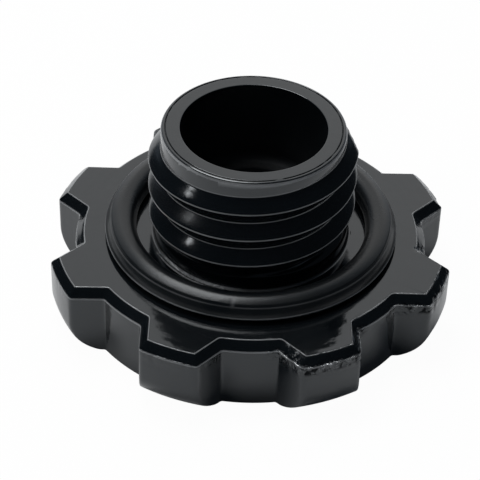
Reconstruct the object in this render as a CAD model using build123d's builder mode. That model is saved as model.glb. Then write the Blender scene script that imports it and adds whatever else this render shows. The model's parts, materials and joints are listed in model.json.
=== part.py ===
# Screw-in oil filler cap, lying on the outer face of its grip head with the threaded stem up.
# The origin is the centre of that outer face, and +Z runs along the stem towards its mouth.
import os
from math import asin, cos

from build123d import *

os.makedirs("parts", exist_ok=True)

# Grip head
head_r = 32.8  # over the lobe tips
head_h = 12.0  # outer face to seat face
lobe_count = 8
notch_depth = 4.5  # lobe tip to the round floor of a notch
notch_floor_w = 8.4  # width across a notch at its floor
notch_mouth_w = 15.9  # width across a notch at the lobe tips
first_notch_deg = -90.0  # a notch faces the front
face_rim = 0.35  # flat of the outer face that is left outside the notch floors
face_round_h = 5.1  # height of the turned rounding between the lobe tips and that flat
seat_chamfer = 1.4  # bevel round the lobes and notches on the seat side
tip_round = 1.0  # upright edges of the lobes

# Stem
stem_h = 20.1  # seat face to mouth
stem_wall = 3.05  # thread root to bore
mouth_band = 1.09  # plain band between the end of the thread and the mouth
mouth_round = 0.45  # outer edge of the mouth
bore_depth = 14.6
bore_floor_round = 1.5
collar_h = 3.2  # plain land under the thread
collar_drop = 0.9  # how far the land stands back from the crests
collar_foot_round = 0.45

# Right-hand, single-start thread
thread_r = 16.5  # over the crests
thread_depth = 1.95
thread_pitch = 5.0
crest_w = 1.4
root_gap = 0.2  # root that is left between two turns
thread_start_z = 1.3  # middle of the ridge above the seat face where it starts, on the +X side
lead_step = 0.1  # height of the ridge where its lead ramp ends

# Seal: a rubber ring that lies on the seat face round the collar
seal_w = 5.1  # oval section, flatter than it is wide
seal_h = 3.5
seal_collar_gap = 2.85
seal_seat_gap = 0.02

notch_r = head_r - notch_depth
face_r = notch_r + face_rim
root_r = thread_r - thread_depth
bore_r = root_r - stem_wall
collar_r = thread_r - collar_drop
seal_inner_r = collar_r + seal_collar_gap

mouth_z = head_h + stem_h
root_w = thread_pitch - root_gap
flank_slope = (root_w - crest_w) / 2 / thread_depth
base_w = thread_pitch - root_gap / 2
base_r = root_r - (base_w - root_w) / 2 / flank_slope
ridge_z = head_h + thread_start_z
lead_z = mouth_z - mouth_band - root_w / 2
thread_rise = lead_z - ridge_z
lead_deg = 360 * thread_rise / thread_pitch

# A notch is a trapezoid that is cut past the blank and filled again up to the round floor
notch_floor_x = notch_r * cos(asin(notch_floor_w / 2 / notch_r))
notch_mouth_x = head_r * cos(asin(notch_mouth_w / 2 / head_r))
notch_slope = (notch_mouth_w - notch_floor_w) / 2 / (notch_mouth_x - notch_floor_x)
notch_over = head_r - notch_mouth_x + tip_round
notch_low_y = notch_floor_w / 2 - notch_slope * notch_over
notch_high_y = notch_mouth_w / 2 + notch_slope * notch_over


def ring_edges(part, radius, z):
    circles = part.edges().filter_by(GeomType.CIRCLE)
    return [e for e in circles if abs(e.radius - radius) < 0.001 and abs(e.center().Z - z) < 0.001]


with BuildPart() as cap_body:
    # Lobed prism, with a mitred bevel round its seat side
    with BuildSketch() as outline:
        Circle(head_r)
        with PolarLocations(0, lobe_count, start_angle=first_notch_deg):
            Polygon(
                (notch_floor_x - notch_over, -notch_low_y),
                (notch_mouth_x + notch_over, -notch_high_y),
                (notch_mouth_x + notch_over, notch_high_y),
                (notch_floor_x - notch_over, notch_low_y),
                align=None,
                mode=Mode.SUBTRACT,
            )
        Circle(notch_r)
    extrude(amount=head_h)
    chamfer(cap_body.faces().sort_by(Axis.Z)[-1].outer_wire().edges(), seat_chamfer)

    # Softened upright edges on the lobes
    with BuildSketch() as soft_outline:
        add(outline.sketch)
        fillet(soft_outline.vertices().group_by(lambda v: Vector(v).length)[-1], tip_round)
    extrude(amount=head_h, mode=Mode.INTERSECT)

    # Turned rounding at the outer face, which takes the lobes and leaves the notch floors upright
    with BuildSketch(Plane.XZ):
        with BuildLine():
            Polyline((face_r, 0), (0, 0), (0, head_h), (head_r, head_h), (head_r, face_round_h))
            TangentArc((head_r, face_round_h), (face_r, 0), tangent=(0, -1))
        make_face()
    revolve(axis=Axis.Z, mode=Mode.INTERSECT)

    # Stem and its plain collar, turned in one with the head
    with BuildSketch(Plane.XY.offset(head_h)):
        Circle(root_r)
    extrude(amount=stem_h)
    fillet(ring_edges(cap_body, root_r, mouth_z), mouth_round)
    with BuildSketch(Plane.XY.offset(head_h)):
        Circle(collar_r)
    extrude(amount=collar_h)
    fillet(ring_edges(cap_body, collar_r, head_h), collar_foot_round)

    # Blind bore
    with BuildSketch(Plane.XY.offset(mouth_z)):
        Circle(bore_r)
    extrude(amount=-bore_depth, mode=Mode.SUBTRACT)
    fillet(ring_edges(cap_body, bore_r, mouth_z - bore_depth), bore_floor_round)

    # Thread ridge, swept up the stem with its flanks rooted in the wall
    with BuildLine():
        Helix(thread_pitch, thread_rise, root_r, center=(0, 0, ridge_z))
    with BuildSketch(Plane.XZ):
        with Locations((0, ridge_z)):
            Polygon(
                (base_r, -base_w / 2),
                (thread_r, -crest_w / 2),
                (thread_r, crest_w / 2),
                (base_r, base_w / 2),
                align=None,
            )
    sweep(is_frenet=True)

    # Lead of the thread: a flat that ramps the first crest down to the mouth band
    with Locations(Location((0, 0, lead_z - thread_pitch / 2), (0, 0, lead_deg))):
        with Locations((root_r + lead_step, 0, 0)):
            Box(
                thread_r,
                2 * thread_r,
                stem_h,
                align=(Align.MIN, Align.CENTER, Align.MIN),
                mode=Mode.SUBTRACT,
            )

cap_body.part.label = "cap_body"
export_step(cap_body.part, "parts/cap_body.step")


with BuildPart() as seal_ring:
    with BuildSketch(Plane.XZ):
        with Locations((seal_inner_r + seal_w / 2, head_h + seal_seat_gap + seal_h / 2)):
            Ellipse(seal_w / 2, seal_h / 2)
    revolve(axis=Axis.Z)

seal_ring.part.label = "seal_ring"
export_step(seal_ring.part, "parts/seal_ring.step")
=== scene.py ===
import json
import math

import bpy
import bmesh
from mathutils import Matrix, Vector, noise

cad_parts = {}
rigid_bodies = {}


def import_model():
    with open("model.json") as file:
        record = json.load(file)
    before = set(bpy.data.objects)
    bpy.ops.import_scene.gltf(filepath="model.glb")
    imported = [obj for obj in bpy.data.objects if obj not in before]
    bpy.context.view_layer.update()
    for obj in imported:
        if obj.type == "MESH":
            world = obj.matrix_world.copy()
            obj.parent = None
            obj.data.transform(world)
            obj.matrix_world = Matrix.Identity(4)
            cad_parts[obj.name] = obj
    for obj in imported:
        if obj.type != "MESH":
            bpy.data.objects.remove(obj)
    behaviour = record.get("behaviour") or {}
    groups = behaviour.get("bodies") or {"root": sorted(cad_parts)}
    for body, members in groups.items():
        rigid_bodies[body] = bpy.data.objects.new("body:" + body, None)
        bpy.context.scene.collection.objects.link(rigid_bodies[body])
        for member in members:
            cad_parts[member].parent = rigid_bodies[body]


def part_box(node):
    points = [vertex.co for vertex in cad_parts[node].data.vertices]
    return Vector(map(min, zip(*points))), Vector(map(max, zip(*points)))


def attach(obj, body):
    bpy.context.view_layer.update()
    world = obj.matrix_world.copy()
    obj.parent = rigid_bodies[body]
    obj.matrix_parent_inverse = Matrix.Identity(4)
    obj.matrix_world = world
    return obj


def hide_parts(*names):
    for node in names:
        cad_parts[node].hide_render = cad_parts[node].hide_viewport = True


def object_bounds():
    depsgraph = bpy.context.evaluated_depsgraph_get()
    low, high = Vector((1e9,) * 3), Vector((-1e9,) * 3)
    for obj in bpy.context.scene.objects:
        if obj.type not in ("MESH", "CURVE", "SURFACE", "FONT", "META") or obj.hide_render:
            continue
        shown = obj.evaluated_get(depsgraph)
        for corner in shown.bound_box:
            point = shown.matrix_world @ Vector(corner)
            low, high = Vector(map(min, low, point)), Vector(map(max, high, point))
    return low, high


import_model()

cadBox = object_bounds()  # the CAD box, before anything is dressed
bpy.context.scene.view_settings.view_transform = "Standard"
millimetre = 0.001
fullTurn = 2 * math.pi
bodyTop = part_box("cap_body")[1].z / millimetre  # mouth of the stem
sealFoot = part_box("seal_ring")[0].z / millimetre
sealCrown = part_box("seal_ring")[1].z / millimetre


# small helpers shared by the two pieces

def clamp(value, low, high):
    return max(low, min(high, value))


def smooth(low, high, value):
    t = clamp((value - low) / (high - low), 0, 1)
    return t * t * (3 - 2 * t)


def speckle(x, y, z, size):
    return noise.noise(Vector((x / size, y / size, z / size)))


def degreesApart(first, second):
    return abs((first - second + 180) % 360 - 180)


# from a low value at share 0 up to 1 at share 1
def upFrom(low, share):
    return low + (1 - low) * share


# angles along a quarter of a circle
def quarter(steps):
    return [math.pi / 2 * step / steps for step in range(steps + 1)]


meshing = {
    "weld": 0.002,  # mm
    "sliver": 0.0005,
    "evenWeight": 80,  # how far the large faces set the normals
}


def makePiece(name, points, faces, layers):
    mesh = bpy.data.meshes.new(name)
    metres = [(x * millimetre, y * millimetre, z * millimetre) for x, y, z in points]
    mesh.from_pydata(metres, [], faces)
    for layerName, values in layers.items():
        mesh.attributes.new(layerName, "FLOAT", "POINT").data.foreach_set("value", values)
    work = bmesh.new()
    work.from_mesh(mesh)
    bmesh.ops.remove_doubles(work, verts=work.verts, dist=meshing["weld"] * millimetre)
    bmesh.ops.dissolve_degenerate(work, edges=work.edges, dist=meshing["sliver"] * millimetre)
    work.to_mesh(mesh)
    work.free()
    for face in mesh.polygons:
        face.use_smooth = True
    piece = bpy.data.objects.new(name, mesh)
    bpy.context.scene.collection.objects.link(piece)
    evenNormals = piece.modifiers.new("evenNormals", "WEIGHTED_NORMAL")
    evenNormals.weight = meshing["evenWeight"]
    return piece


# cap body: lobed head, plain land, threaded stem and bore in one closed skin, all sizes in mm

body = {
    "headRadius": 32.8,
    "seatHeight": 12.0,
    "notchCount": 8,
    "firstNotch": -90,  # degrees
    "notchDepth": 4.5,
    "notchFloorWidth": 8.4,
    "notchMouthWidth": 15.9,
    "floorSteps": 6,  # columns over half a notch and half a lobe
    "floorCornerSteps": 4,
    "flankSteps": 8,
    "tipCornerSteps": 5,
    "tipSteps": 12,
    "tipRound": 1.0,
    "tipTrim": 0.62,  # what a round takes off the flank, as a share of its size
    "longestTrim": 0.4,  # as a share of the flank
    "floorRound": 0.45,
    "faceRadius": 28.65,  # flat of the outer face
    "faceRings": (6, 16, 24),
    "faceBreak": 0.2,
    "faceBreakRows": (1.6, 1, 0.6, 0.3, 0.1),  # insets, as shares of the break
    "faceTipRound": 0.3,
    "faceRoundHeight": 5.1,
    "faceRoundSteps": 10,
    "faceRoundCrowd": 1.5,  # its rows lie closer near the face
    "bevel": 1.4,
    "bevelTurn": 45,  # degrees
    "bevelLowRound": 0.5,
    "bevelTopRound": 0.34,
    "bevelRoundSteps": 5,
    "mitreRound": 0.14,
    "mitreRun": 0.35,  # inset over which a lobe's round corner turns into the mitre
    "seatInset": 9,  # a place on the seat, well past the bevel
    "chip": 0.5,  # depth of the deepest nick on a bevel edge
    "chipDrop": 0.5,
    "chippedLobes": {-67.5: 1.0, -22.5: 0.9, -112.5: 0.25, 22.5: 0.3},  # lobe angle to how worn it is
    "leastWorn": 0.08,
    "wearEnds": (13, 20),  # degrees from the middle of a lobe
    "fineChips": {"level": 3.1, "size": 0.8, "share": 0.75},
    "broadChips": {"level": 8.7, "size": 2.1, "share": 0.6},
    "chipRange": (0.02, 0.4),
    "wallNicks": {2.0: 0.0, 1.5: 0.3, 1.1: 0.65, 0.7: 0.6, 0.45: 0.7},  # depth under the bevel to nicks
    "wallWear": 0.55,
    "lowEdgeNick": 0.75,
    "lowEdgeWear": 0.4,
    "bevelNicks": {0.4: 0.45, 0.6: 0.2},  # share of the way up the bevel to nicks
    "bevelWear": 0.3,
    "topEdgeNick": 0.3,
    "topEdgeWear": 0.5,
    "edgeShine": 0.65,  # strength of the painted highlight along a sharp edge
    "rootShine": 0.5,
    "crestShine": 0.4,
    "seatRings": (26.2, 22),
    "landRadius": 15.6,  # plain land under the thread
    "landHeight": 3.2,
    "landFoot": 0.45,
    "landBreak": 0.5,
    "footRing": 0.4,  # beyond the foot
    # rings of painted glint on the seat, at these distances beyond the foot
    "seatGlintRings": (0.3, 0.1),
    "footRows": {0: 0.0, 0.04: 0.7, 0.15: 1.0, 0.35: 1.0, 0.65: 0.7},  # share up the foot to painted highlight
    # least painted highlight on the foot, away from the glint
    "footHighlightLeast": 0.16,
    "footGlintAngle": 236,  # where the painted glint on the foot's corner is brightest, in degrees
    "footGlintEnds": (14, 34),  # degrees away from there
    "crestRadius": 16.5,
    "rootRadius": 14.55,
    "pitch": 5.0,
    "laps": 6,  # more turns than the thread has
    "crestUpper": 0.66,  # edges of the narrow crest over the ridge's middle
    "crestLower": 0.5,
    "crestSoft": 0.08,
    "softSteps": 3,
    "crestRise": (0, 0.8),  # over the land, where the painted highlight on the crest grows
    "rootRise": (0.15, 0.5),  # over the root, where its painted highlight line ends
    "flankFull": 0.1,  # how far the upper flank swells
    "flankRows": (0.25, 0.5, 0.75),
    "flankDull": 0.18,
    "dullTurn": 1.63,  # where the thread's coat is dullest, in turns from its start
    "dullEnds": (0.1, 0.3),  # turns away from there
    "dullMore": 0.14,
    "rootGap": 0.2,
    "rowGap": 0.01,  # least gap between the last row of a turn and the next turn
    "threadStart": 1.3,  # middle of the ridge over the seat face, at angle 0
    "runIn": 0.015,  # turns
    "mouthBand": 1.09,
    "leadStep": 0.1,
    "leadReach": 1.2,  # radians each way from the lead
    "mouthRound": 0.6,
    "mouthSteps": 5,
    "mouthHighlightSteps": (1, 2),  # steps of the round with a painted highlight
    "mouthLine": 0.34,  # depth of the fine turned line inside the mouth's edge
    "lineInset": 0.13,
    "lineRows": {  # place across the line to its depth there
        0.13: 0, 0.11: 0.15, 0.09: 1, -0.09: 1, -0.11: 0.15, -0.13: 0, -0.22: 0,
    },
    "lineGrain": {"level": 1.7, "size": 1.6},
    "lineRange": (-0.6, 0.2),
    "boreRadius": 11.5,
    "boreRing": 0.15,  # beyond the bore's edge break
    "boreBreak": 0.16,
    "boreBreakSteps": 4,
    "boreTopRow": 0.8,  # below the mouth
    "boreDepth": 14.6,
    "boreFloorRound": 1.5,
    "boreFloorSteps": 6,
    "floorRing": 1.5,  # inside the floor's round
    "centreRing": 4,
    "boreDull": {"top": 0.4, "middle": 0.6, "corner": 1.0, "floor": 0.3, "centre": 0.2},
}
notchRadius = body["headRadius"] - body["notchDepth"]
halfPitch = math.pi / body["notchCount"]


# end of a chord of the given width that lies square to the x axis
def chordEnd(radius, width):
    return Vector((math.sqrt(radius ** 2 - (width / 2) ** 2), width / 2))


flankFoot = chordEnd(notchRadius, body["notchFloorWidth"])
flankTip = chordEnd(body["headRadius"], body["notchMouthWidth"])
flankRun = (flankTip - flankFoot).normalized()
flankIn = Vector((-flankRun.y, flankRun.x))  # into the lobe


def onFlank(radius, inset):
    start = flankFoot + flankIn * inset
    b = start.dot(flankRun)
    return start + flankRun * (-b + math.sqrt(b * b - start.length_squared + radius * radius))


def bend(first, corner, last, steps):
    return [
        first.lerp(corner, t).lerp(corner.lerp(last, t), t)
        for t in [i / steps for i in range(1, steps)]
    ]


def polar(radius, angle):
    return Vector((radius * math.cos(angle), radius * math.sin(angle)))


# half an outline, from the middle of a notch to the middle of the next lobe
def halfOutline(tipRadius, inset, tipRound):
    floorR, tipR = notchRadius - inset, tipRadius - inset
    low, high = onFlank(floorR, inset), onFlank(tipR, inset)
    run = (high - low).length
    longest = body["longestTrim"] * run
    floorTrim = min(body["floorRound"], longest)
    tipTrim = min(tipRound * body["tipTrim"], longest)
    lowAngle = math.atan2(low.y, low.x) - floorTrim / floorR
    highAngle = math.atan2(high.y, high.x) + tipTrim / tipR
    flankStart, flankEnd = low + flankRun * floorTrim, high - flankRun * tipTrim
    floorSteps, flankSteps, tipSteps = body["floorSteps"], body["flankSteps"], body["tipSteps"]
    points = [polar(floorR, lowAngle * i / floorSteps) for i in range(floorSteps + 1)]
    points += bend(points[-1], low, flankStart, body["floorCornerSteps"])
    points += [flankStart.lerp(flankEnd, i / flankSteps) for i in range(flankSteps + 1)]
    points += bend(flankEnd, high, polar(tipR, highAngle), body["tipCornerSteps"])
    tipTurn = halfPitch - highAngle
    points += [polar(tipR, highAngle + tipTurn * i / tipSteps) for i in range(tipSteps + 1)]
    return points


def outlineRow(tipRadius, inset, height, tipRound):
    half = halfOutline(tipRadius, inset, tipRound)
    pitchPoints = [Vector((p.x, -p.y)) for p in half[-2:0:-1]] + half
    row = []
    for notch in range(body["notchCount"]):
        turn = math.radians(body["firstNotch"]) + notch * 2 * halfPitch
        c, s = math.cos(turn), math.sin(turn)
        row += [(p.x * c - p.y * s, p.x * s + p.y * c, height) for p in pitchPoints]
    return row


# how worn the edge is at a point, 0 to 1, and how deep it is nicked there
def wornAt(x, y):
    angle = math.degrees(math.atan2(y, x))
    share = body["leastWorn"]
    for lobe, worn in body["chippedLobes"].items():
        share = max(share, worn * (1 - smooth(*body["wearEnds"], degreesApart(angle, lobe))))
    return share


def chipAt(x, y):
    grain = 0
    for grade in (body["fineChips"], body["broadChips"]):
        grain += speckle(x, y, grade["level"], grade["size"]) * grade["share"]
    return wornAt(x, y) * smooth(*body["chipRange"], grain)


# rows run round the axis, from the middle of the outer face to the floor of the bore
rows = []
marks = {"edgeWear": [], "edgeThin": [], "dull": []}  # per point: chips and the painted glint at the foot, painted edge highlight, dull finish


def addRow(row, closed=True, **given):
    rows.append(row + [row[0]] if closed else row)
    for layerName, values in marks.items():
        value = given.get(layerName, 0.0)
        line = value if isinstance(value, list) else [value] * len(row)
        values.extend(line + [line[0]] if closed else line)


def ringRow(radius, height):
    return [(radius * math.cos(a), radius * math.sin(a), height) for a in columnAngles]


seat = body["seatHeight"]
wallTop = seat - body["bevel"]
seatRow = outlineRow(body["headRadius"], body["bevel"], seat, body["mitreRound"])
columnAngles = [math.atan2(y, x) for x, y, z in seatRow]

# outer face, its edge break and the turned rounding up to the lobe tips
for radius in body["faceRings"]:
    addRow(ringRow(radius, 0))
faceBreak, faceTipRound = body["faceBreak"], body["faceTipRound"]
roundWidth = body["headRadius"] - body["faceRadius"]
roundR = (roundWidth ** 2 + body["faceRoundHeight"] ** 2) / (2 * roundWidth)


def turnedRadius(height):
    drop = body["faceRoundHeight"] - height
    return body["headRadius"] - roundR + math.sqrt(roundR ** 2 - drop ** 2)


for share in body["faceBreakRows"]:
    sink = faceBreak * (1 - math.sqrt(1 - (1 - min(share, 1)) ** 2))
    addRow(outlineRow(turnedRadius(sink), faceBreak * share, sink, faceTipRound))
faceRoundSteps = body["faceRoundSteps"]
for step in range(faceRoundSteps + 1):
    share = (step / faceRoundSteps) ** body["faceRoundCrowd"]
    height = faceBreak + (body["faceRoundHeight"] - faceBreak) * share
    tipRound = faceTipRound + (body["tipRound"] - faceTipRound) * step / faceRoundSteps
    addRow(outlineRow(turnedRadius(height), 0, height, tipRound))
addRow(outlineRow(body["headRadius"], 0, (body["faceRoundHeight"] + wallTop) / 2, body["tipRound"]))


# a rounded edge between two straight runs of the bevel's profile, as (inset, height) pairs
def edgeRound(before, corner, after, radius):
    before, corner, after = Vector(before), Vector(corner), Vector(after)
    trim = radius * math.tan(math.radians(body["bevelTurn"] / 2))
    first = corner + (before - corner).normalized() * trim
    last = corner + (after - corner).normalized() * trim
    return [first] + bend(first, corner, last, edgeSteps) + [last]


edgeSteps = body["bevelRoundSteps"]
bevelLow, bevelTop = (0, wallTop), (body["bevel"], seat)
lowEdge = edgeRound((0, 0), bevelLow, bevelTop, body["bevelLowRound"])
topEdge = edgeRound(bevelLow, bevelTop, (body["seatInset"], seat), body["bevelTopRound"])


# a row of the bevel or beside it, nicked where its lobe is chipped, with a painted highlight along a
# rounded edge
def addBevelRow(inset, height, bitten, worn, paintedHighlight):
    tipRound = max(body["mitreRound"], body["tipRound"] * (1 - inset / body["mitreRun"]))
    nicked, chipped = [], []
    for x, y, z in outlineRow(body["headRadius"], inset, height, tipRound):
        bite = body["chip"] * bitten * chipAt(x, y)
        chipped.append(worn * wornAt(x, y))
        r = math.hypot(x, y)
        nicked.append((x * (1 - bite / r), y * (1 - bite / r), z - bite * body["chipDrop"]))
    addRow(nicked, edgeWear=chipped, edgeThin=paintedHighlight * body["edgeShine"])


for below, bitten in body["wallNicks"].items():
    addBevelRow(0, wallTop - below, bitten, body["wallWear"] * bitten, 0.0)
# the rounded edges get a painted highlight, strongest in the middle of each round
for i, (inset, height) in enumerate(lowEdge):
    ridge = math.sin(math.pi * i / edgeSteps)
    bitten, worn = upFrom(body["lowEdgeNick"], ridge), upFrom(body["lowEdgeWear"], ridge)
    addBevelRow(inset, height, bitten, worn, ridge)
for share, bitten in body["bevelNicks"].items():
    climb = body["bevel"] * share
    addBevelRow(climb, wallTop + climb, bitten, body["bevelWear"] * bitten, 0.0)
for i, (inset, height) in enumerate(topEdge):
    ridge = math.sin(math.pi * i / edgeSteps)
    addBevelRow(inset, height, body["topEdgeNick"] * ridge, body["topEdgeWear"] * ridge, ridge)

# stem: the ridge of the thread lies over a plain land at the foot and the root above it
pitch = body["pitch"]
rootR, rootHalf = body["rootRadius"], (pitch - body["rootGap"]) / 2
soft, softSteps = body["crestSoft"], body["softSteps"]
crestLower, crestUpper = body["crestLower"], body["crestUpper"]
startZ = seat + body["threadStart"]
leadZ = bodyTop - body["mouthBand"] - rootHalf
leadTurn = (leadZ - startZ) / pitch  # turns from angle 0 to the lead
leadAngle = fullTurn * (leadTurn % 1)
landR, foot = body["landRadius"], body["landFoot"]
landTop = seat + body["landHeight"]
stemFoot, stemHead = seat + foot, bodyTop - body["mouthRound"]


def ridgeHeight(offset):
    upper = (rootHalf - offset) / (rootHalf - crestUpper)
    lower = (rootHalf + offset) / (rootHalf + crestLower)
    swell = body["flankFull"] * 4 * upper * (1 - upper) if 0 < upper < 1 else 0
    return clamp(min(upper, lower), 0, 1) * (body["crestRadius"] - rootR) + swell


def baseRadius(height):
    if height < stemFoot:
        return landR + foot - math.sqrt(max(0, foot ** 2 - (stemFoot - height) ** 2))
    return landR - (landR - rootR) * smooth(landTop - body["landBreak"], landTop, height)


def stemRadius(angle, height):
    turn = angle / fullTurn
    radius = baseRadius(height)
    for lap in range(-1, body["laps"]):
        along = turn + lap
        if 0 <= along <= leadTurn:
            offset = height - startZ - pitch * along
            if abs(offset) < rootHalf + soft:
                around = [offset + soft * k / softSteps for k in range(-softSteps, softSteps + 1)]
                rise = sum(ridgeHeight(place) for place in around) / len(around)
                radius = max(radius, rootR + rise * smooth(0, body["runIn"], along))
    off = (angle - leadAngle + math.pi) % fullTurn - math.pi
    if height > leadZ - pitch / 2 and abs(off) < body["leadReach"]:
        flat = (rootR + body["leadStep"]) / math.cos(off)  # it ramps the first crest down
        radius = min(radius, max(rootR, flat))
    return radius


# painted glint round the foot's corner, brightest towards the key light
footAway = [degreesApart(math.degrees(a), body["footGlintAngle"]) for a in columnAngles]
footGlint = [1 - smooth(*body["footGlintEnds"], away) for away in footAway]
for radius in (*body["seatRings"], landR + foot + body["footRing"]):
    addRow(ringRow(radius, seat))
for beyond in body["seatGlintRings"]:  # a painted glint on the seat, round part of the foot
    addRow(ringRow(landR + foot + beyond, seat), edgeThin=footGlint, edgeWear=footGlint)
for share, paintedHighlight in body["footRows"].items():
    height = seat + foot * share
    radii = [stemRadius(a, height) for a in columnAngles]
    # painted highlight up the foot, and the glint as bare speckles
    pale = [paintedHighlight * upFrom(body["footHighlightLeast"], p) for p in footGlint]
    bareAndGlint = [paintedHighlight * p for p in footGlint]
    footRow = [(r * math.cos(a), r * math.sin(a), height) for r, a in zip(radii, columnAngles)]
    addRow(footRow, edgeThin=pale, edgeWear=bareAndGlint)
print("cap body: head", len(rows), "rows of", len(columnAngles), "points")

# every row of the thread follows the helix, held between the foot and the mouth
ridgeStops = {-pitch / 2}
for centre in (-rootHalf, crestLower, crestUpper, rootHalf):
    ridgeStops |= {centre - soft, centre - soft / 3, centre + soft / 3, centre + soft}
for share in body["flankRows"]:
    ridgeStops.add(crestLower - (rootHalf + crestLower) * share)
    ridgeStops.add(crestUpper + (rootHalf - crestUpper) * share)
lastStop = pitch / 2 - body["rowGap"]
ridgeStops = sorted(stop for stop in ridgeStops if -pitch / 2 <= stop < lastStop)
firstAngle = columnAngles[0]
steadyAngles = [firstAngle + (a - firstAngle) % fullTurn for a in columnAngles]
steadyAngles.append(firstAngle + fullTurn)
for lap in range(-2, body["laps"]):
    turns = [a / fullTurn + lap for a in steadyAngles]
    duller = [1 - smooth(*body["dullEnds"], abs(turn - body["dullTurn"])) for turn in turns]
    for stop in ridgeStops:
        row = []
        for a, turn in zip(steadyAngles, turns):
            height = clamp(startZ + pitch * turn + stop, stemFoot, stemHead)
            r = stemRadius(a, height)
            row.append((r * math.cos(a), r * math.sin(a), height))
        if all(p[2] == stemFoot for p in row) or all(p[2] == stemHead for p in row):
            continue
        onCrest = crestLower - soft / 2 < stop < crestUpper + soft / 2
        atRoot = abs(stop + rootHalf) < soft / 2
        radii = [math.hypot(x, y) for x, y, z in row]
        # painted highlight lines along the crest and at the root
        if onCrest:
            paintedShine = [body["crestShine"] * smooth(*body["crestRise"], r - landR) for r in radii]
        else:
            shine = body["rootShine"] * atRoot
            paintedShine = [shine * (1 - smooth(*body["rootRise"], r - rootR)) for r in radii]
        upperFlank = crestUpper < stop < rootHalf
        dulled = [body["flankDull"] + body["dullMore"] * d if upperFlank else 0.0 for d in duller]
        addRow(row, closed=False, edgeThin=paintedShine, dull=dulled)
print("cap body: thread of", round(leadTurn, 2), "turns, rows now", len(rows))

# mouth, bore and the floor of the bore
mouthRound, lineGrain = body["mouthRound"], body["lineGrain"]
for step, a in enumerate(quarter(body["mouthSteps"])[1:], 1):
    radius = rootR - mouthRound + mouthRound * math.cos(a)
    # painted highlight on the mouth's round
    paintedHighlight = body["edgeShine"] if step in body["mouthHighlightSteps"] else 0.0
    addRow(ringRow(radius, stemHead + mouthRound * math.sin(a)), edgeThin=paintedHighlight)
lineR = rootR - mouthRound - body["lineInset"]  # the fine line, a little uneven in depth
for across, sink in body["lineRows"].items():
    lineRow = []
    for x, y, z in ringRow(lineR + across, bodyTop):
        uneven = smooth(*body["lineRange"], speckle(x, y, lineGrain["level"], lineGrain["size"]))
        lineRow.append((x, y, z - sink * body["mouthLine"] * uneven))
    addRow(lineRow, dull=sink)
boreR, boreBreak = body["boreRadius"], body["boreBreak"]
addRow(ringRow(boreR + boreBreak + body["boreRing"], bodyTop))
for a in quarter(body["boreBreakSteps"]):
    radius = boreR + boreBreak - boreBreak * math.sin(a)
    addRow(ringRow(radius, bodyTop - boreBreak + boreBreak * math.cos(a)))
boreFloor, floorRound = bodyTop - body["boreDepth"], body["boreFloorRound"]
boreDull = body["boreDull"]
addRow(ringRow(boreR, bodyTop - body["boreTopRow"]), dull=boreDull["top"])
addRow(ringRow(boreR, (bodyTop + boreFloor) / 2), dull=boreDull["middle"])
for a in quarter(body["boreFloorSteps"]):
    radius = boreR - floorRound + floorRound * math.cos(a)
    addRow(ringRow(radius, boreFloor + floorRound - floorRound * math.sin(a)), dull=boreDull["corner"])
addRow(ringRow(boreR - floorRound - body["floorRing"], boreFloor), dull=boreDull["floor"])
addRow(ringRow(body["centreRing"], boreFloor), dull=boreDull["centre"])

wide = len(rows[0])
bodyPoints = [p for row in rows for p in row]
bodyFaces = [
    (r * wide + c, r * wide + c + 1, (r + 1) * wide + c + 1, (r + 1) * wide + c)
    for r in range(len(rows) - 1)
    for c in range(wide - 1)
]
faceMiddle, floorMiddle = len(bodyPoints), len(bodyPoints) + 1
bodyPoints += [(0, 0, 0), (0, 0, boreFloor)]
for layerName, values in marks.items():
    values.extend((0.0, boreDull["centre"] if layerName == "dull" else 0.0))
last = (len(rows) - 1) * wide
bodyFaces += [(faceMiddle, c + 1, c) for c in range(wide - 1)]
bodyFaces += [(floorMiddle, last + c, last + c + 1) for c in range(wide - 1)]
capBody = makePiece("capBody", bodyPoints, bodyFaces, marks)
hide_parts("cap_body")
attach(capBody, "root")
print("cap body:", len(capBody.data.vertices), "points", len(capBody.data.polygons), "faces")


# seal: a moulded rubber ring with a full crown, a crisp shoulder, a steep side and a fine flash line

seal = {
    "inner": (18.5, 1.15),  # radius and height of the inner flash
    "topRadius": 20.9,
    "crownEdge": (22.4, 2.97),
    "shoulder": (22.62, 2.55),
    "flash": (23.45, 0.95),
    "foot": (19.4, 22.3),  # radii between which it rests
    "crownLip": ((0.07, -0.06, 0.0),),  # lips: radius and height off their corner, and the strength of the painted highlight along them
    "shoulderLip": ((-0.04, 0.08, 0.0), (0.04, 0.01, 0.35), (0.09, -0.05, 0.35), (0.11, -0.16, 0.0)),
    "flashLip": ((-0.06, 0.13, 0.3), (0.04, 0.1, 1.0), (0.06, -0.1, 1.0), (-0.06, -0.14, 0.3)),
    "innerLip": ((-0.03, -0.05, 1.0), (-0.03, 0.03, 1.0)),
    "sideEnd": (-0.06, 0.12),  # off the flash
    "sideSwell": 0.08,
    "underFlash": (-0.12, -0.16),  # where the rounds of the underside start
    "underInner": (0.06, -0.14),
    "innerSteps": 15,
    "crownSteps": 12,
    "crownPower": 1.5,
    "sideSteps": 10,
    "underSteps": 6,
    "around": 300,
    "nickAngle": -97,  # small pale nick across the crown
    "nickRadius": 21.8,
    "nick": 0.05,
    "nickDrop": 0.5,
    "nickPale": 0.6,
    "nickWidth": (0.3, 0.9),  # degrees over which it ends
    "nickLength": (0.7, 1.1),  # mm over which it ends
}


def lipPoints(corner, offsets):
    return [(corner[0] + aside, corner[1] + above, pale) for aside, above, pale in offsets]
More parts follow.
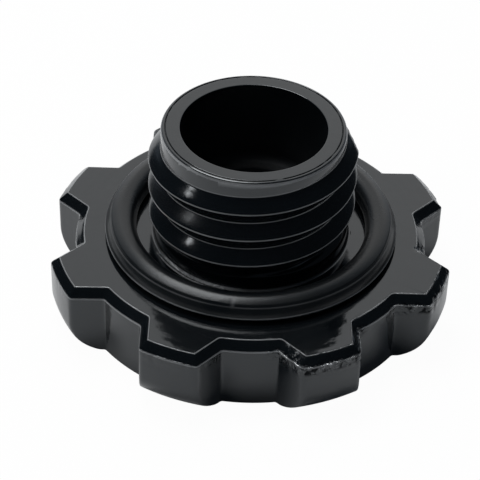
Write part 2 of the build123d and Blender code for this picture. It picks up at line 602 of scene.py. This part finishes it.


# the ring's section as (radius, height, painted highlight), over the crown and back under the foot
def sealSection():
    innerR, innerH = seal["inner"]
    topR, topH = seal["topRadius"], sealCrown - sealFoot
    crownR, crownH = seal["crownEdge"]
    section = []
    for t in quarter(seal["innerSteps"])[1:]:
        radius = topR - (topR - innerR) * math.cos(t)
        section.append((radius, innerH + (topH - innerH) * math.sin(t), 0.0))
    for i in range(1, seal["crownSteps"] + 1):
        t = i / seal["crownSteps"]
        radius = topR + (crownR - topR) * t
        section.append((radius, topH - (topH - crownH) * t ** seal["crownPower"], 0.0))
    section += lipPoints(seal["crownEdge"], seal["crownLip"])
    section += lipPoints(seal["shoulder"], seal["shoulderLip"])
    sideR, sideH = section[-1][:2]
    flashR, flashH = seal["flash"]
    reach, drop = flashR + seal["sideEnd"][0] - sideR, sideH - flashH - seal["sideEnd"][1]
    for i in range(1, seal["sideSteps"]):
        t = i / seal["sideSteps"]
        radius = sideR + reach * t + seal["sideSwell"] * math.sin(math.pi * t)
        section.append((radius, sideH - drop * t, 0.0))
    section += lipPoints(seal["flash"], seal["flashLip"])
    footIn, footOut = seal["foot"]
    reach, height = flashR + seal["underFlash"][0] - footOut, flashH + seal["underFlash"][1]
    for t in quarter(seal["underSteps"]):
        section.append((footOut + reach * math.cos(t), height * (1 - math.sin(t)), 0.0))
    reach, height = footIn - innerR - seal["underInner"][0], innerH + seal["underInner"][1]
    for t in quarter(seal["underSteps"]):
        section.append((footIn - reach * math.sin(t), height * (1 - math.cos(t)), 0.0))
    return section + lipPoints(seal["inner"], seal["innerLip"])


sealLine = sealSection()
sealPoints, sealHighlightAndScuff = [], []
for i in range(seal["around"]):
    a = fullTurn * i / seal["around"]
    nickOff = degreesApart(math.degrees(a), seal["nickAngle"])
    nickNear = seal["nickPale"] * (1 - smooth(*seal["nickWidth"], nickOff))
    for r, h, pale in sealLine:
        across = math.hypot(r - seal["nickRadius"], h - seal["shoulder"][1])
        nicked = nickNear * (1 - smooth(*seal["nickLength"], across))
        sink = seal["nick"] * nicked
        height = sealFoot + h - sink * seal["nickDrop"]
        sealPoints.append(((r - sink) * math.cos(a), (r - sink) * math.sin(a), height))
        # the painted highlight of the lips and the pale scuff of the nick, whichever is stronger
        sealHighlightAndScuff.append(max(pale, nicked))
sealFaces = []
for i in range(seal["around"]):
    for j in range(len(sealLine)):
        i2, j2 = (i + 1) % seal["around"], (j + 1) % len(sealLine)
        ringA, ringB = i * len(sealLine), i2 * len(sealLine)
        sealFaces.append((ringA + j2, ringB + j2, ringB + j, ringA + j))
sealRing = makePiece("sealRing", sealPoints, sealFaces, {"pale": sealHighlightAndScuff})
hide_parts("seal_ring")
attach(sealRing, "root")
print("seal:", len(sealRing.data.polygons), "faces")


# materials

def newMaterial(name):
    material = bpy.data.materials.new(name)
    material.use_nodes = True
    nodes = material.node_tree.nodes
    nodes.clear()
    out = nodes.new("ShaderNodeOutputMaterial")
    return material, nodes, material.node_tree.links, out


def noiseNode(nodes, links, coords, scale, detail):
    grain = nodes.new("ShaderNodeTexNoise")
    grain.inputs["Scale"].default_value = scale
    grain.inputs["Detail"].default_value = detail
    links.new(coords.outputs["Object"], grain.inputs["Vector"])
    return grain


def spread(nodes, links, source, given, toLow=0, toHigh=1):
    ramp = nodes.new("ShaderNodeMapRange")
    ramp.inputs["From Min"].default_value = given[0]
    ramp.inputs["From Max"].default_value = given[1]
    ramp.inputs["To Min"].default_value = toLow
    ramp.inputs["To Max"].default_value = toHigh
    links.new(source, ramp.inputs["Value"])
    return ramp.outputs["Result"]


def mixColour(nodes, links, share, first, second):
    mixed = nodes.new("ShaderNodeMix")
    mixed.data_type = "RGBA"
    links.new(share, mixed.inputs["Factor"])
    for value, socket in ((first, mixed.inputs["A"]), (second, mixed.inputs["B"])):
        if isinstance(value, tuple):
            socket.default_value = (*value, 1)
        else:
            links.new(value, socket)
    return mixed.outputs["Result"]


def maths(nodes, links, first, second, operation="MULTIPLY"):
    node = nodes.new("ShaderNodeMath")
    node.operation = operation
    for value, socket in ((first, node.inputs[0]), (second, node.inputs[1])):
        if isinstance(value, (int, float)):
            socket.default_value = value
        else:
            links.new(value, socket)
    return node.outputs[0]


def bumpNode(nodes, links, height, strength, distance):
    bump = nodes.new("ShaderNodeBump")
    bump.inputs["Strength"].default_value = strength
    bump.inputs["Distance"].default_value = distance
    links.new(height, bump.inputs["Height"])
    return bump


coat = {
    "colour": (0.0016, 0.0024, 0.0032),
    "dusty": (0.003, 0.0041, 0.005),
    # pale colour of the painted highlight lines on edges
    "paintedHighlight": (0.34, 0.345, 0.35),
    # bare metal of real chips, also used for the painted glint at the foot
    "bareAndGlint": (0.5, 0.51, 0.52),
    "bareMetal": 0.4,
    "cloud": (90, 3),  # scale and detail of each noise
    "grain": (1500, 2),
    "peel": (330, 3),
    "flecks": (850, 2),
    "dustRange": (0.35, 0.75),
    "chipRange": (0.53, 0.62),
    "bareRange": (0.3, 0.8),
    # how the painted highlight lines are broken up by the cloud noise
    "shineRange": (0.3, 0.6),
    "shineLeast": 0.45,
    "roughRange": (0.3, 0.7),
    "fleckRange": (0.52, 0.6),
    "pitRange": (0.1, 0.3),
    "roughLow": 0.06,
    "roughHigh": 0.13,
    "roughDull": 0.7,
    "relief": 0.001,  # metres
    "peelStrength": 0.032,  # the coat's waviness
    "lumpStrength": 0.8,
    "turningStrength": 0.008,
    "turningScale": 180,
    "turningSway": 3.0,
    "turningDetail": 2.0,
    "specular": 0.72,
    "pitSpecular": 0.06,  # in the dark pits beside a chipped edge
    "tint": (0.93, 0.97, 1.0),  # cool cast of the gloss
}


def glossBlackCoat():
    material, nodes, links, out = newMaterial("glossBlackCoat")
    coords = nodes.new("ShaderNodeTexCoord")
    shader = nodes.new("ShaderNodeBsdfPrincipled")
    wearAndGlintNode, paintedHighlight, dull = [nodes.new("ShaderNodeAttribute") for layerName in marks]
    for node, layerName in zip((wearAndGlintNode, paintedHighlight, dull), marks):
        node.attribute_name = layerName
    cloud = noiseNode(nodes, links, coords, *coat["cloud"]).outputs["Fac"]
    grain = noiseNode(nodes, links, coords, *coat["grain"]).outputs["Fac"]
    peel = noiseNode(nodes, links, coords, *coat["peel"]).outputs["Fac"]
    flecks = noiseNode(nodes, links, coords, *coat["flecks"]).outputs["Fac"]

    dust = spread(nodes, links, cloud, coat["dustRange"])
    chips = spread(nodes, links, grain, coat["chipRange"])
    # bare metal where chipped, and the painted glint at the foot
    edge = spread(nodes, links, wearAndGlintNode.outputs["Fac"], coat["bareRange"])
    bareAndGlint = maths(nodes, links, chips, edge)
    # painted highlight lines on the edges, broken up by the cloud noise
    uneven = spread(nodes, links, cloud, coat["shineRange"], coat["shineLeast"])
    paintedShine = maths(nodes, links, paintedHighlight.outputs["Fac"], uneven)
    colour = mixColour(nodes, links, dust, coat["colour"], coat["dusty"])
    colour = mixColour(nodes, links, paintedShine, colour, coat["paintedHighlight"])
    links.new(mixColour(nodes, links, bareAndGlint, colour, coat["bareAndGlint"]), shader.inputs["Base Color"])
    links.new(maths(nodes, links, bareAndGlint, coat["bareMetal"]), shader.inputs["Metallic"])
    rough = spread(nodes, links, cloud, coat["roughRange"], coat["roughLow"], coat["roughHigh"])
    dulled = maths(nodes, links, dull.outputs["Fac"], coat["roughDull"])
    links.new(maths(nodes, links, rough, dulled, "MAXIMUM"), shader.inputs["Roughness"])

    turning = nodes.new("ShaderNodeTexWave")  # faint marks of the lathe round the axis
    turning.wave_type = "RINGS"
    turning.rings_direction = "Z"
    turning.inputs["Scale"].default_value = coat["turningScale"]
    turning.inputs["Distortion"].default_value = coat["turningSway"]
    turning.inputs["Detail"].default_value = coat["turningDetail"]
    links.new(coords.outputs["Object"], turning.inputs["Vector"])
    broken = maths(nodes, links, grain, wearAndGlintNode.outputs["Fac"])  # coat broken up along chipped edges
    waves = bumpNode(nodes, links, peel, coat["peelStrength"], coat["relief"])
    turned = bumpNode(nodes, links, turning.outputs["Fac"], coat["turningStrength"], coat["relief"])
    lumps = bumpNode(nodes, links, broken, coat["lumpStrength"], coat["relief"])
    links.new(waves.outputs["Normal"], turned.inputs["Normal"])
    links.new(turned.outputs["Normal"], lumps.inputs["Normal"])
    links.new(lumps.outputs["Normal"], shader.inputs["Normal"])

    pitted = spread(nodes, links, flecks, coat["fleckRange"])
    pits = maths(nodes, links, pitted, spread(nodes, links, wearAndGlintNode.outputs["Fac"], coat["pitRange"]))
    gloss = spread(nodes, links, pits, (0, 1), coat["specular"], coat["pitSpecular"])
    links.new(gloss, shader.inputs["Specular IOR Level"])
    shader.inputs["Specular Tint"].default_value = (*coat["tint"], 1)
    links.new(shader.outputs["BSDF"], out.inputs["Surface"])
    return material


rubber = {
    "colour": (0.0026, 0.0036, 0.0046),
    "bloom": (0.0075, 0.0084, 0.009),
    # colour of the painted highlight lines on the lips and of the pale nick
    "pale": (0.15, 0.154, 0.158),
    "cloud": (70, 4),  # scale and detail of each noise
    "pores": (2200, 2),
    "bloomRange": (0.4, 0.75),
    "paleRange": (0.35, 0.6),
    "paleLeast": 0.3,
    "roughRange": (0.3, 0.7),
    "roughLow": 0.25,
    "roughHigh": 0.36,
    "relief": 0.0004,  # metres
    "poreStrength": 0.05,
    "specular": 0.38,
    "tint": (0.95, 0.98, 1.0),
}


def satinRubber():
    material, nodes, links, out = newMaterial("satinRubber")
    coords = nodes.new("ShaderNodeTexCoord")
    shader = nodes.new("ShaderNodeBsdfPrincipled")
    pale = nodes.new("ShaderNodeAttribute")
    pale.attribute_name = "pale"
    cloud = noiseNode(nodes, links, coords, *rubber["cloud"]).outputs["Fac"]
    pores = noiseNode(nodes, links, coords, *rubber["pores"]).outputs["Fac"]
    bloom = spread(nodes, links, cloud, rubber["bloomRange"])
    colour = mixColour(nodes, links, bloom, rubber["colour"], rubber["bloom"])
    # painted highlight lines on the lips and the pale nick, broken up by the cloud noise
    uneven = spread(nodes, links, cloud, rubber["paleRange"], rubber["paleLeast"])
    broken = maths(nodes, links, pale.outputs["Fac"], uneven)
    links.new(mixColour(nodes, links, broken, colour, rubber["pale"]), shader.inputs["Base Color"])
    rough = spread(nodes, links, cloud, rubber["roughRange"], rubber["roughLow"], rubber["roughHigh"])
    links.new(rough, shader.inputs["Roughness"])
    bump = bumpNode(nodes, links, pores, rubber["poreStrength"], rubber["relief"])
    links.new(bump.outputs["Normal"], shader.inputs["Normal"])
    shader.inputs["Specular IOR Level"].default_value = rubber["specular"]
    shader.inputs["Specular Tint"].default_value = (*rubber["tint"], 1)
    links.new(shader.outputs["BSDF"], out.inputs["Surface"])
    return material


capBody.data.materials.append(glossBlackCoat())
sealRing.data.materials.append(satinRubber())
print("materials: gloss black coat, satin rubber")


# stage: white floor and surroundings, with a dark room behind the camera

stage = {
    "floorSize": 6.0,  # metres
    "floorGap": 0.00005,
    "floorColour": (0.82, 0.82, 0.82),
    "floorGlow": 0.97,  # share of the floor that shows as plain white
    "floorGlowInGloss": 0.01,  # less of it in reflections, which keep the paper's own shade
    "softFill": 0.06,  # even light from all round, beside the backdrop's
    "backdropTowards": (0.0, 0.82, 0.57),
    "backdropFull": 0.9,  # cosine inside which the backdrop is white
    "backdropEnd": 0.64,
    "roomLevel": 0.035,  # dark room round the camera
    "roomColour": (0.72, 0.9, 1.1),
}


def seenDirectly(nodes, links):
    path = nodes.new("ShaderNodeLightPath")
    seen, through = path.outputs["Is Camera Ray"], path.outputs["Is Transmission Ray"]
    return maths(nodes, links, seen, through, "MAXIMUM"), path.outputs["Is Glossy Ray"]


floorMesh = bpy.data.meshes.new("floor")
half = stage["floorSize"] / 2
corners = [(-half, -half, 0), (half, -half, 0), (half, half, 0), (-half, half, 0)]
floorMesh.from_pydata(corners, [], [(0, 1, 2, 3)])
floor = bpy.data.objects.new("floor", floorMesh)
floor.location.z = cadBox[0].z - stage["floorGap"]
bpy.context.scene.collection.objects.link(floor)
paper, nodes, links, out = newMaterial("whitePaper")
matt = nodes.new("ShaderNodeBsdfDiffuse")
matt.inputs["Color"].default_value = (*stage["floorColour"], 1)
glow = nodes.new("ShaderNodeEmission")
glow.inputs["Strength"].default_value = 1.0
mixed = nodes.new("ShaderNodeMixShader")
direct, glossy = seenDirectly(nodes, links)
inGloss = maths(nodes, links, glossy, stage["floorGlowInGloss"])
inView = maths(nodes, links, direct, stage["floorGlow"])
links.new(maths(nodes, links, inView, inGloss, "MAXIMUM"), mixed.inputs["Fac"])
links.new(matt.outputs["BSDF"], mixed.inputs[1])
links.new(glow.outputs["Emission"], mixed.inputs[2])
links.new(mixed.outputs["Shader"], out.inputs["Surface"])
floorMesh.materials.append(paper)

world = bpy.data.worlds.new("studio")
bpy.context.scene.world = world
world.use_nodes = True
nodes, links = world.node_tree.nodes, world.node_tree.links
nodes.clear()
out = nodes.new("ShaderNodeOutputWorld")
sky = nodes.new("ShaderNodeBackground")
coords = nodes.new("ShaderNodeTexCoord")
facing = nodes.new("ShaderNodeVectorMath")
facing.operation = "DOT_PRODUCT"
facing.inputs[1].default_value = Vector(stage["backdropTowards"]).normalized()
links.new(coords.outputs["Generated"], facing.inputs[0])
room = nodes.new("ShaderNodeMapRange")
room.interpolation_type = "SMOOTHSTEP"
room.inputs["From Min"].default_value = stage["backdropEnd"]
room.inputs["From Max"].default_value = stage["backdropFull"]
room.inputs["To Min"].default_value = stage["roomLevel"]
room.inputs["To Max"].default_value = 1.0
links.new(facing.outputs["Value"], room.inputs["Value"])
direct, glossy = seenDirectly(nodes, links)
notGlossy = maths(nodes, links, 1.0, glossy, "SUBTRACT")
softFill = maths(nodes, links, notGlossy, stage["softFill"])
filled = maths(nodes, links, room.outputs["Result"], softFill, "ADD")
links.new(maths(nodes, links, filled, direct, "MAXIMUM"), sky.inputs["Strength"])
white = maths(nodes, links, room.outputs["Result"], direct, "MAXIMUM")
links.new(mixColour(nodes, links, white, stage["roomColour"], (1.0, 1.0, 1.0)), sky.inputs["Color"])
links.new(sky.outputs["Background"], out.inputs["Surface"])


softboxes = {  # place and size in metres, brightness of the panel's face
    "overhead": {"place": (-0.1, 0.105, 0.43), "size": 0.2, "face": 8.5},
    "leftKey": {"place": (-0.38, -0.02, 0.335), "size": 0.036, "face": 7.5},
    "leftFill": {"place": (-0.5, -0.1, 0.42), "size": 0.3, "face": 5.0, "matt": True},
}
aim = Vector((0, 0, seat * millimetre))
for name, box in softboxes.items():
    lamp = bpy.data.lights.new(name, "AREA")
    lamp.shape = "SQUARE"
    lamp.size = box["size"]
    lamp.energy = box["face"] * math.pi * box["size"] ** 2
    holder = bpy.data.objects.new(name, lamp)
    holder.location = box["place"]
    holder.rotation_mode = "QUATERNION"
    holder.rotation_quaternion = (aim - Vector(box["place"])).to_track_quat("-Z", "Y")
    holder.visible_glossy = not box.get("matt", False)  # a matt fill isn't mirrored
    bpy.context.scene.collection.objects.link(holder)
print("stage: floor, sky and", len(softboxes), "softboxes")


# camera, as found by fitting the photo's ellipses, lobes and plumb edges

view = {
    "elevation": 39.24,  # degrees
    "distance": 304.94,  # mm from the middle of the seat face
    "focalPixels": 1882.5,
    "imagePixels": 480,
    "sensorWidth": 36,  # mm
    "clipStart": 0.01,  # metres
    "offRight": 1.672,  # mm
    "offUp": 2.005,
    "roll": -1.66,  # degrees
    "turn": -0.71,
}
e, roll = math.radians(view["elevation"]), math.radians(view["roll"])
right = Vector((1, 0, 0))
up = Vector((0, math.sin(e), math.cos(e)))
back = Vector((0, -math.cos(e), math.sin(e)))
spot = back * view["distance"] - right * view["offRight"] - up * view["offUp"]
rolledRight = right * math.cos(roll) - up * math.sin(roll)
rolledUp = right * math.sin(roll) + up * math.cos(roll)
turn = Matrix.Rotation(math.radians(view["turn"]), 3, "Z")
axes = Matrix([turn @ rolledRight, turn @ rolledUp, turn @ back]).transposed()
cameraData = bpy.data.cameras.new("camera")
cameraData.sensor_width = view["sensorWidth"]
cameraData.lens = view["focalPixels"] * cameraData.sensor_width / view["imagePixels"]
cameraData.clip_start = view["clipStart"]
camera = bpy.data.objects.new("camera", cameraData)
place = (turn @ spot + Vector((0, 0, seat))) * millimetre
camera.matrix_world = Matrix.Translation(place) @ axes.to_4x4()
bpy.context.scene.collection.objects.link(camera)
bpy.context.scene.camera = camera
print("camera: lens", round(cameraData.lens, 1))
